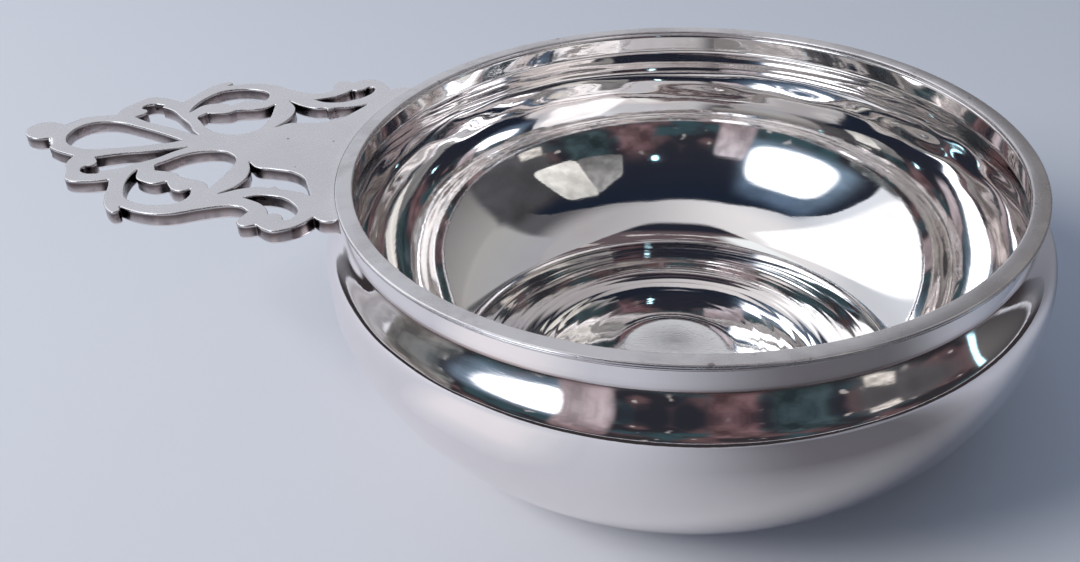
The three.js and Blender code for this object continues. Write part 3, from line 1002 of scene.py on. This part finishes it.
def handle_silver():
    """Satin top, rubbed edges, brown tarnish on the walls, and painted shade darkest in corners."""
    nodes = Nodes("handle_silver")
    place = nodes.place("Object")
    wall, rim, corner_shade, drop = (nodes.attribute(key) for key in ("wall", "rim", "corner_shade", "drop"))
    cloud = nodes.noise(place, 150.0, 4.0, 0.6, 0.6)
    broad = nodes.noise(place, 45.0, 3.0, 0.55)
    fine = nodes.noise(place, 700.0, 3.0, 0.6)
    top = nodes.mix(nodes.ramp(broad, 0.35, 0.7), (0.83, 0.81, 0.82), (0.77, 0.75, 0.76))
    fall = nodes.plus(drop, nodes.times(nodes.minus(cloud, 0.5), 0.9))
    deep = nodes.mix(nodes.ramp(fall, 0.1, 0.95), (0.13, 0.10, 0.10), (0.54, 0.48, 0.48))
    # Random stains, with painted shade added where the gap beside a wall is closed in, turn the walls
    # near black.
    stain_and_corner_shade = nodes.plus(nodes.plus(cloud, broad), nodes.times(corner_shade, 0.8))
    side = nodes.mix(nodes.ramp(stain_and_corner_shade, 0.90, 1.40), deep, (0.035, 0.028, 0.03))
    tint = nodes.mix(nodes.ramp(wall, 0.3, 0.8), top, side)
    worn = nodes.times(nodes.ramp(rim, 0.4, 0.95), nodes.ramp(broad, 0.35, 0.65, 0.15, 0.55))
    tint = nodes.mix(worn, tint, (0.90, 0.88, 0.88))
    edge = AXIS_X - RIM_RADIUS
    pits = nodes.pits(place, [
        ((edge - past, -front, HANDLE_TOP - 0.03), size) for past, front, size in HANDLE_PITS
    ])
    tint = nodes.mix(nodes.times(pits, 0.85), tint, (0.10, 0.085, 0.085))
    rough_top = nodes.ramp(fine, 0.3, 0.7, 0.26, 0.30)
    rough_wall = nodes.ramp(cloud, 0.3, 0.7, 0.20, 0.36)
    blend = nodes.add("ShaderNodeMix", {0: wall, 2: rough_top, 3: rough_wall}, data_type="FLOAT")
    rough = nodes.minus(blend.outputs[0], nodes.times(rim, 0.08))
    filed = nodes.mapped(place, Rotation=(0, 0, 0.5), Scale=(0.2, 1.0, 1.0))
    file_marks = nodes.noise(filed, 1500.0, 2.0, 0.7)
    relief = nodes.plus(file_marks, nodes.times(cloud, 3.0))
    relief = nodes.minus(relief, nodes.times(pits, 6.0))
    return nodes.metal(tint, rough, relief, 0.0035)


def dress(obj, material, node):
    obj.data.materials.append(material)
    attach(obj, "root")
    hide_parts(node)


dress(make_bowl(), bowl_silver(), "bowl")
dress(make_rim(), rim_silver(), "rim_wire")
dress(make_handle(), handle_silver(), "handle")


# Studio

FLOOR_COLOUR = (0.64, 0.66, 0.72)
HORIZON_COLOUR = (0.58, 0.61, 0.68)
FLOOR_HALF = 6000.0

# The world: the light that matt things get, and what the camera and reflections see far off: the
# walls from left to right, the ceiling, and what its opening shows
MATT_LIGHT = (0.36, 0.425, 0.53)
WALL_FAR_LEFT = (0.80, 0.84, 0.92)
WALL_LEFT = (0.60, 0.62, 0.67)
WALL_MIDDLE = (0.56, 0.57, 0.60)
WALL_RIGHT = (0.10, 0.10, 0.11)
CEILING_LEFT = (0.80, 0.78, 0.80)
CEILING_RIGHT = (0.42, 0.41, 0.43)
OPENING_NAVY = (0.018, 0.02, 0.032)
OPENING_BROWN = (0.12, 0.09, 0.10)
OPENING_PALE = (0.62, 0.59, 0.58)
OPENING_BRIGHT = (0.90, 0.93, 0.95)

# Cards round the object: their common centre, the dark room's distance from it, the faces across
# and up one card, and the lowest that a card hangs. The flag hangs behind them all.
CARD_CENTRE = (AXIS_X, 0.0, 40.0)
CARD_DISTANCE = 3000.0
CARD_GRID = (48, 24)
CARD_LOWEST = 1.0
FLAG_FOOT = [(20, -1), (150, -1)]
FLAG_TOP = [(20, 62), (150, 62)]
FLAG_DISTANCE = CARD_DISTANCE + 50

# The table that reflections see: how high its sheet lies, and where its front, right and left
# edges start and end, from the bowl's axis
SHEET_HEIGHT = 1.5
TABLE_FRONT = (285, 320)
TABLE_RIGHT = (320, 370)
TABLE_LEFT = (330, 420)
# The sheet's dark colour, for the table past its edges and for the painted shade, and its painted
# light
TABLE_DARK = (0.035, 0.03, 0.033)
TABLE_BRIGHT = (1.0, 0.98, 1.02)


def seen_directly(nodes):
    """1 for rays from the camera and for those that metal sends on."""
    path = nodes.add("ShaderNodeLightPath").outputs
    return nodes.plus(path["Is Camera Ray"], path["Is Glossy Ray"], clamp=True)


def floor_material():
    """Pale paper. Far from the object it fades into the plain colour of the horizon."""
    nodes = Nodes("floor_paper")
    paper = nodes.add("ShaderNodeBsdfPrincipled", {
        "Base Color": FLOOR_COLOUR, "Roughness": 0.85, "Specular IOR Level": 0.15,
    })
    far = nodes.add("ShaderNodeEmission", {"Color": HORIZON_COLOUR})
    place = nodes.place("Object")
    reach = nodes.add("ShaderNodeVectorMath", {0: place}, operation="LENGTH").outputs["Value"]
    share = nodes.times(nodes.ramp(reach, 0.45, 1.4), seen_directly(nodes))
    blend = nodes.add("ShaderNodeMixShader", {0: share, 1: paper.outputs[0], 2: far.outputs[0]})
    nodes.add("ShaderNodeOutputMaterial", {"Surface": blend.outputs[0]})
    return nodes.material


def make_floor():
    half = FLOOR_HALF
    corners = [(-half, -half, 0), (half, -half, 0), (half, half, 0), (-half, half, 0)]
    floor = add_mesh("floor", corners, [[(0, 1, 2, 3)]])
    floor.data.materials.append(floor_material())


def glow(nodes, tint, share):
    """A light that is clear where share is 0. It is found by reflections, not sampled as a lamp."""
    light = nodes.add("ShaderNodeEmission", {"Color": tint, "Strength": 1.0})
    clear = nodes.add("ShaderNodeBsdfTransparent")
    blend = nodes.add("ShaderNodeMixShader", {0: share, 1: clear.outputs[0], 2: light.outputs[0]})
    nodes.add("ShaderNodeOutputMaterial", {"Surface": blend.outputs[0]})
    nodes.material.cycles.emission_sampling = "NONE"
    return nodes.material


def soft_edges(nodes, place, softness, corner=12.0):
    """1 in the middle of a card, and 0 at its edges. A low corner value rounds its corners."""
    inside = 1.0
    total = 0.0
    for soft, part in zip(softness, nodes.parts(place)):
        span = nodes.math("ABSOLUTE", nodes.times(nodes.minus(part, 0.5), 2.0))
        inside = nodes.times(inside, nodes.ramp(span, 1.0 - soft, 1.0, 1.0, 0.0))
        total = nodes.plus(total, nodes.math("POWER", span, corner))
    reach = nodes.math("POWER", total, 1.0 / corner)
    return nodes.times(inside, nodes.ramp(reach, 1.0 - min(softness), 1.0, 1.0, 0.0))


def card_material(name, low, high, softness, mottle):
    """One colour at the foot, another at the top, and soft mottling between them. The brightest
    cards have round corners."""
    corner = 2.6 if min(low) > 2.0 else 6.0
    nodes = Nodes(name)
    place = nodes.add("ShaderNodeUVMap").outputs[0]
    tint = nodes.mix(nodes.parts(place)[1], low, high)
    if mottle:
        cloud = nodes.noise(place, 3.0, 3.0, 0.55, 0.3)
        cloud = nodes.ramp(cloud, 0.3, 0.7, 1.0 - mottle, 1.0 + mottle)
        scaled = nodes.add("ShaderNodeVectorMath", {0: tint, "Scale": cloud}, operation="SCALE")
        tint = scaled.outputs[0]
    return glow(nodes, tint, soft_edges(nodes, place, softness, corner))


def room_material():
    """A dim room: navy black above, and dark browns and blues with a few pale patches below."""
    nodes = Nodes("dark_room")
    place = nodes.add("ShaderNodeUVMap").outputs[0]
    wide = nodes.mapped(place, Scale=(2.6, 1.0, 1.0))
    moved = nodes.mapped(wide, Location=(7.0, 3.0, 0.0))
    up = nodes.parts(place)[1]
    low = nodes.ramp(up, 0.42, 0.66, 1.0, 0.0)
    brown = nodes.ramp(nodes.noise(wide, 4.0, 2.0, 0.5, 0.2), 0.48, 0.64)
    blue = nodes.ramp(nodes.noise(moved, 3.5, 2.0, 0.5, 0.2), 0.50, 0.66)
    pale = nodes.ramp(nodes.noise(moved, 12.0, 1.0, 0.4), 0.68, 0.74)
    tint = nodes.mix(up, (0.035, 0.032, 0.036), (0.010, 0.016, 0.032))
    tint = nodes.mix(nodes.times(brown, low), tint, (0.12, 0.078, 0.085))
    tint = nodes.mix(nodes.times(blue, low), tint, (0.04, 0.075, 0.09))
    tint = nodes.mix(nodes.times(pale, low), tint, (0.42, 0.40, 0.40))
    return glow(nodes, tint, soft_edges(nodes, place, (0.03, 0.06)))


def reflected_only(obj):
    """Leaves the object to reflections: the camera and matt things don't see it, and it casts no
    shadow."""
    obj.visible_camera = False
    obj.visible_diffuse = False
    obj.visible_shadow = False


def make_card(name, foot, top, material, distance):
    """A curved card round the studio. foot and top list (azimuth, elevation) in degrees; azimuth 0
    is towards the front, where the camera stands, and grows to the right."""
    columns, rows = CARD_GRID
    foot = np.array(foot, float)
    top = np.array(top, float)
    across = np.linspace(0, 1, columns + 1)
    up = np.linspace(0, 1, rows + 1)[:, None]
    low_turn = foot[0, 0] + (foot[-1, 0] - foot[0, 0]) * across
    high_turn = top[0, 0] + (top[-1, 0] - top[0, 0]) * across
    low_rise = np.interp(low_turn, foot[:, 0], foot[:, 1])
    high_rise = np.interp(high_turn, top[:, 0], top[:, 1])
    azimuth = np.radians(low_turn * (1 - up) + high_turn * up)
    rise = np.radians(low_rise * (1 - up) + high_rise * up)
    points = grid_points(
        CARD_CENTRE[0] + distance * np.cos(rise) * np.sin(azimuth),
        CARD_CENTRE[1] - distance * np.cos(rise) * np.cos(azimuth),
        np.maximum(CARD_LOWEST, CARD_CENTRE[2] + distance * np.sin(rise)),
    )
    card = add_mesh(name, points, [grid_faces(rows + 1, columns + 1, False, False)])
    flat = grid_points(across[None, :], up)
    corners = np.empty(len(card.data.loops), np.int32)
    card.data.loops.foreach_get("vertex_index", corners)
    layer = card.data.uv_layers.new(name="UVMap")
    layer.data.foreach_set("uv", flat[corners].astype(np.float32).ravel())
    card.data.materials.append(material)
    reflected_only(card)
    return card


def make_flag():
    """A black flag on the right that takes light from the floor there, and isn't reflected."""
    nodes = Nodes("flag")
    share = soft_edges(nodes, nodes.add("ShaderNodeUVMap").outputs[0], (0.3, 0.2))
    black = glow(nodes, (0.02, 0.02, 0.02), share)
    flag = make_card("flag", FLAG_FOOT, FLAG_TOP, black, FLAG_DISTANCE)
    flag.visible_glossy = False
    flag.visible_diffuse = True
    flag.visible_shadow = True


def between(values, start, full, last, end):
    """0 up to start, 1 from full to last and 0 past end, with smooth changes."""
    return fade(values, start, full) * (1 - fade(values, last, end))


def make_table_shade():
    """What the silver sees past the table's edge, painted shade on the table's front right and back
    right, and a painted pool of light on its front left: a flat sheet just above the floor, clear
    elsewhere, that only reflections meet."""
    turn = np.radians(np.arange(0, 360, 5))
    radius = np.concatenate([np.arange(55, 420, 12), np.geomspace(440, 3000, 12)])[:, None]
    right = radius * np.sin(turn)
    front = radius * np.cos(turn)
    bearing = np.degrees(np.arctan2(right, front))
    past_edge = [fade(front, *TABLE_FRONT), fade(right, *TABLE_RIGHT), fade(-right, *TABLE_LEFT)]
    past_edge = np.maximum.reduce(past_edge) * (1 - fade(np.abs(bearing), 108, 128))
    # A painted pool of light on the table's front left
    bright = 0.55 * between(radius, 78, 108, 150, 260) * between(bearing, -62, -46, -34, -16)
    # Painted shade over the table's front right
    painted_shade_front_right = (0.45 + 0.34 * fade(radius, 75, 105)) * fade(radius, 58, 76)
    painted_shade_front_right = painted_shade_front_right * (1 - fade(radius, 240, 300) * 0.4) * between(bearing, -14, 30, 50, 76)
    # Painted shade over the table's back right
    painted_shade_back_right = 0.5 * fade(radius, 72, 96) * between(bearing, 96, 114, 132, 156)
    dark_table_and_painted_shade = np.maximum.reduce([past_edge, painted_shade_front_right, painted_shade_back_right])
    points = grid_points(AXIS_X + right, -front, SHEET_HEIGHT)
    faces = grid_faces(len(radius), len(turn), False, True)
    marks = {"dark_table_and_painted_shade": dark_table_and_painted_shade, "lit": bright * (1 - dark_table_and_painted_shade)}
    sheet = add_mesh("table_shade", points, [faces], marks)
    nodes = Nodes("table_shade")
    lit = nodes.attribute("lit")
    dark = nodes.attribute("dark_table_and_painted_shade")
    tint = nodes.mix(nodes.ramp(lit, 0.0, 0.06), TABLE_DARK, TABLE_BRIGHT)
    sheet.data.materials.append(glow(nodes, tint, nodes.math("MAXIMUM", dark, lit)))
    reflected_only(sheet)


def room_walls(nodes, x, z):
    """A pale wall that is brighter on the left and dark on the right, with the horizon's colour
    below it and a pale ceiling above."""
    wall = nodes.mix(nodes.ramp(x, -0.98, -0.45), WALL_FAR_LEFT, WALL_LEFT)
    wall = nodes.mix(nodes.ramp(x, -0.34, 0.0), wall, WALL_MIDDLE)
    wall = nodes.mix(nodes.ramp(x, 0.06, 0.32), wall, WALL_RIGHT)
    wall = nodes.mix(nodes.ramp(z, -0.02, 0.06), HORIZON_COLOUR, wall)
    ceiling = nodes.mix(nodes.ramp(x, -0.35, 0.35), CEILING_LEFT, CEILING_RIGHT)
    return nodes.mix(nodes.ramp(z, 0.78, 0.90), wall, ceiling)


def ceiling_opening(nodes, way, x, y, z):
    """How much of the opening overhead shows, and what is seen in it: navy in front and brown at
    the back, with pale patches there and a bright left end."""
    rounded_end = nodes.times(nodes.math("POWER", nodes.math("ABSOLUTE", x), 4.0), 90.0)
    inward = nodes.minus(nodes.plus(y, 0.20), rounded_end)
    share = nodes.times(nodes.ramp(inward, -0.03, 0.04), nodes.ramp(y, 0.30, 0.46, 1.0, 0.0))
    share = nodes.times(share, nodes.ramp(z, 0.6, 0.75))
    patches = nodes.noise(nodes.mapped(way, Scale=(6.0, 17.0, 1.0)), 1.0, 2.0)
    pale = nodes.times(nodes.ramp(patches, 0.57, 0.64), nodes.ramp(y, -0.03, 0.04))
    bright = nodes.times(nodes.ramp(x, -0.17, -0.10, 1.0, 0.0), nodes.ramp(y, 0.03, 0.10))
    tint = nodes.mix(nodes.ramp(y, -0.06, 0.05), OPENING_NAVY, OPENING_BROWN)
    tint = nodes.mix(pale, tint, OPENING_PALE)
    return share, nodes.mix(bright, tint, OPENING_BRIGHT)


def make_world():
    """Plain light for what is matt. Camera and reflections see walls, a ceiling and its opening."""
    world = bpy.data.worlds.new("studio")
    bpy.context.scene.world = world
    world.use_nodes = True
    nodes = Nodes("studio", world.node_tree)
    way = nodes.place("Generated")
    x, y, z = nodes.parts(way)
    share, opening = ceiling_opening(nodes, way, x, y, z)
    view = nodes.mix(share, room_walls(nodes, x, z), opening)
    tint = nodes.mix(seen_directly(nodes), MATT_LIGHT, view)
    background = nodes.add("ShaderNodeBackground", {"Color": tint, "Strength": 1.0})
    nodes.add("ShaderNodeOutputWorld", {"Surface": background.outputs[0]})


# Cards that the silver reflects: name, foot, top, colour at the foot, colour at the top, softness
# across and up, mottling, and how far in front of the dark room it hangs
CARDS = [
    ("left_sheet", [(-130, 8), (-84, 12)], [(-128, 76), (-64, 76)],
     (1.15, 1.16, 1.20), (1.35, 1.36, 1.42), (0.2, 0.2), 0.12, 100),
    ("left_low", [(-118, -1), (-84, -1)], [(-118, 11), (-84, 11)],
     (0.42, 0.42, 0.45), (0.36, 0.37, 0.40), (0.3, 0.3), 0.2, 90),
    ("left_stacks", [(-92, -1), (-60, -1)], [(-90, 20), (-62, 19)],
     (0.28, 0.26, 0.25), (0.10, 0.12, 0.13), (0.2, 0.3), 0.5, 80),
    ("cool_glint", [(88, 3), (93, 3)], [(89, 14), (92, 14)],
     (1.0, 1.8, 2.2), (1.4, 2.4, 2.8), (0.7, 0.6), 0.0, 120),
    ("right_low", [(84, -1), (165, -1)], [(88, 42), (165, 40)],
     (0.05, 0.05, 0.055), (0.38, 0.37, 0.37), (0.15, 0.1), 0.0, 60),
    ("right_high", [(86, 36), (150, 34)], [(90, 64), (150, 62)],
     (0.40, 0.39, 0.38), (0.37, 0.38, 0.42), (0.2, 0.2), 0.0, 62),
    ("right_dim", [(46, 8), (98, 8)], [(50, 50), (94, 50)],
     (0.10, 0.10, 0.11), (0.045, 0.045, 0.05), (0.4, 0.4), 0.2, 20),
    ("blue_glow", [(-80, 14), (-12, 14)], [(-72, 58), (-22, 58)],
     (0.26, 0.36, 0.48), (0.05, 0.08, 0.14), (0.45, 0.4), 0.25, 40),
    ("window", [(-68, 19), (-22, 20)], [(-64, 45), (-25, 48)],
     (3.0, 3.15, 3.4), (3.8, 3.95, 4.2), (0.3, 0.34), 0.0, 110),
    ("veil", [(-31, -1), (-13, -1)], [(-29, 39), (-12, 38)],
     (0.16, 0.10, 0.11), (0.62, 0.57, 0.62), (0.35, 0.2), 0.3, 2680),
    ("warm_right", [(7, 8), (29, 8)], [(8, 36), (29, 35)],
     (0.18, 0.115, 0.125), (0.10, 0.06, 0.07), (0.6, 0.5), 0.5, 52),
    ("teal_panel", [(26, 8), (50, 8)], [(25, 36), (50, 36)],
     (0.05, 0.075, 0.085), (0.03, 0.052, 0.062), (0.5, 0.5), 0.5, 48),
    ("grey_card", [(24, 31), (46, 28)], [(27, 44), (44, 52)],
     (0.16, 0.16, 0.165), (0.36, 0.36, 0.365), (0.12, 0.12), 0.3, 111),
    ("paper_card", [(44, 28), (65, 27)], [(42, 52), (59, 49)],
     (0.95, 0.94, 0.91), (0.55, 0.55, 0.53), (0.08, 0.08), 0.2, 112),
    ("pale_tile", [(54, 14), (66, 14)], [(55, 21), (66, 20)],
     (0.9, 0.86, 0.82), (0.5, 0.48, 0.46), (0.3, 0.3), 0.4, 108),
    ("spot", [(9.8, 34.2), (13.8, 34.2)], [(9.8, 38.0), (13.8, 38.0)],
     (4.5, 8.0, 9.5), (4.5, 8.0, 9.5), (0.8, 0.8), 0.0, 130),
]
ROOM_FOOT = [(-80, -1), (94, -1)]
ROOM_TOP = [
    (-80, 22), (-72, 45), (-62, 54), (-30, 60), (20, 62), (55, 57), (74, 50), (84, 36), (94, 22),
]

# Key lamp: metres and watts
KEY_AZIMUTH = math.radians(-66)
KEY_ELEVATION = math.radians(37)
KEY_DISTANCE = 1.3
KEY_SIZE = 0.7
KEY_POWER = 14.5
KEY_COLOUR = (1.0, 0.955, 0.89)

# Camera, fitted to the photograph: its place from the middle of the bowl's rim, the way it looks,
# and its focal length in pixels of the photograph's width
CAMERA_PLACE = (3.5, -192.4, 98.9)
CAMERA_SWING = math.radians(9.56)
CAMERA_TILT = math.radians(90 - 33.75)
CAMERA_ROLL = math.radians(-2.89)
SENSOR_WIDTH = 36.0
FOCAL_PIXELS = 1100
PHOTO_WIDTH = 1080


def make_key():
    key = bpy.data.lights.new("key", "AREA")
    key.shape = "DISK"
    key.size = KEY_SIZE
    key.energy = KEY_POWER
    key.color = KEY_COLOUR
    lamp = bpy.data.objects.new("key", key)
    target = Vector((AXIS_X * MM, 0, 0))
    lamp.location = target + KEY_DISTANCE * Vector((
        math.cos(KEY_ELEVATION) * math.sin(KEY_AZIMUTH),
        -math.cos(KEY_ELEVATION) * math.cos(KEY_AZIMUTH),
        math.sin(KEY_ELEVATION),
    ))
    lamp.rotation_euler = (target - lamp.location).to_track_quat("-Z", "Y").to_euler()
    lamp.visible_glossy = False
    bpy.context.scene.collection.objects.link(lamp)


def make_studio():
    make_floor()
    make_table_shade()
    make_world()
    make_key()
    make_flag()
    make_card("dark_room", ROOM_FOOT, ROOM_TOP, room_material(), CARD_DISTANCE)
    for name, foot, top, low, high, softness, mottle, ahead in CARDS:
        material = card_material(name, low, high, softness, mottle)
        make_card(name, foot, top, material, CARD_DISTANCE - ahead)


def make_camera():
    """The photograph's viewpoint, above and in front of the bowl."""
    data = bpy.data.cameras.new("camera")
    data.sensor_width = SENSOR_WIDTH
    data.lens = SENSOR_WIDTH * FOCAL_PIXELS / PHOTO_WIDTH
    camera = bpy.data.objects.new("camera", data)
    right, ahead, up = CAMERA_PLACE
    place = Vector((AXIS_X + right, ahead, RIM_TOP + up)) * MM
    aim = Matrix.Rotation(CAMERA_SWING, 4, "Z") @ Matrix.Rotation(CAMERA_TILT, 4, "X")
    aim = aim @ Matrix.Rotation(CAMERA_ROLL, 4, "Z")
    camera.matrix_world = Matrix.Translation(place) @ aim
    bpy.context.scene.collection.objects.link(camera)
    bpy.context.scene.camera = camera


make_studio()
make_camera()
scene = bpy.context.scene
scene.view_settings.view_transform = "Standard"
scene.cycles.glossy_bounces = 12
